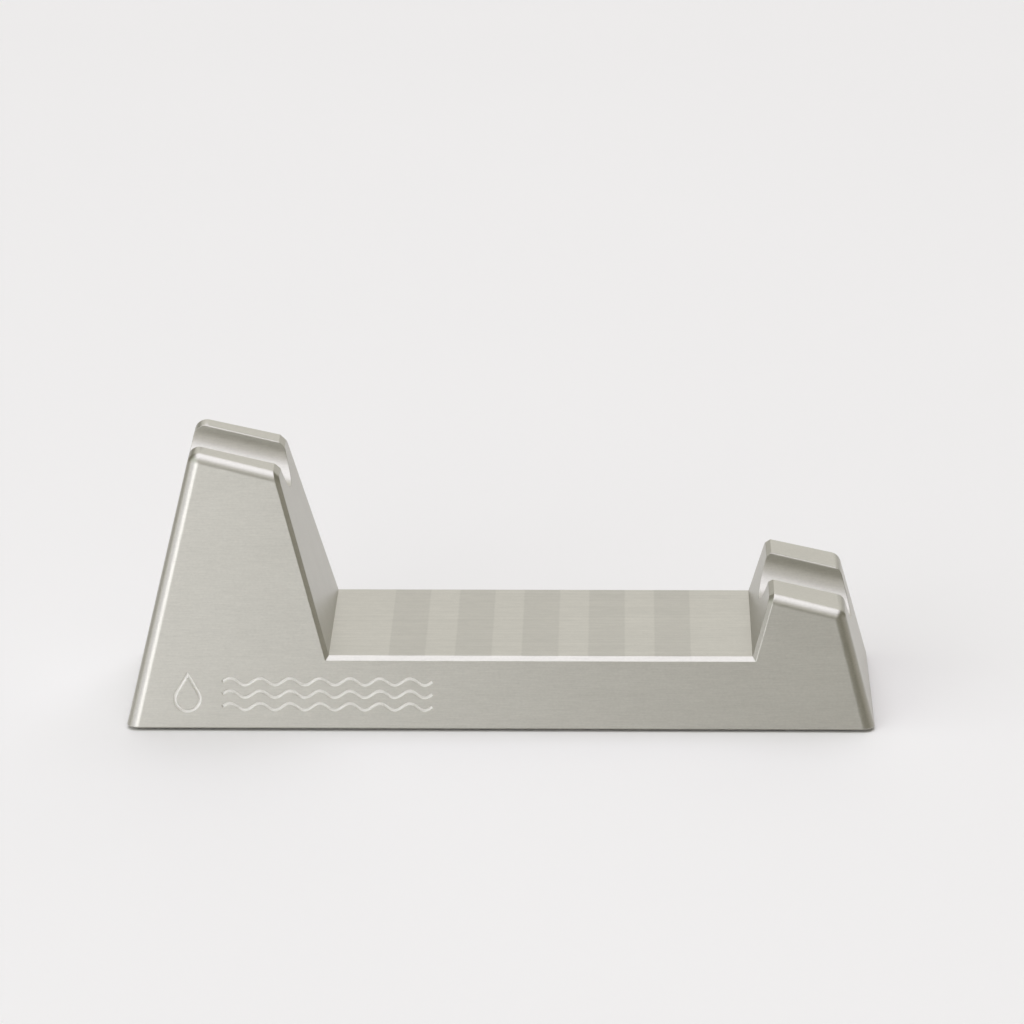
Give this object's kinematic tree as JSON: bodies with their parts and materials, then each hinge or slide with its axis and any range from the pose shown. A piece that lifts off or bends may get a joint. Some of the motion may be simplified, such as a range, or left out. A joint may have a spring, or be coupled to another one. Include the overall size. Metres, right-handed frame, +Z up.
{
  "type": "razor stand",
  "caption": "Machined aluminium razor stand with a tall and a short tower, a saddle across each tower's slanted top and an open valley between them, on low bumper feet.",
  "frame": {"origin": "on the resting surface, under the middle of the base", "axes": "+X along the stand from the tall tower to the short tower, +Y from the engraved front face to the back, +Z up"},
  "size_m": [0.09, 0.0316, 0.0324],
  "materials": {
    "block": "satin, finely brushed along the length",
    "foot": "matte elastomer",
    "adhesive": "matte acrylic adhesive film"
  },
  "bodies": {
    "root": {"stand_block": "block", "foot_front_left": "foot", "foot_front_right": "foot", "foot_rear_left": "foot", "foot_rear_right": "foot", "adhesive_front_left": "adhesive", "adhesive_front_right": "adhesive", "adhesive_rear_left": "adhesive", "adhesive_rear_right": "adhesive"}
  },
  "joints": []
}
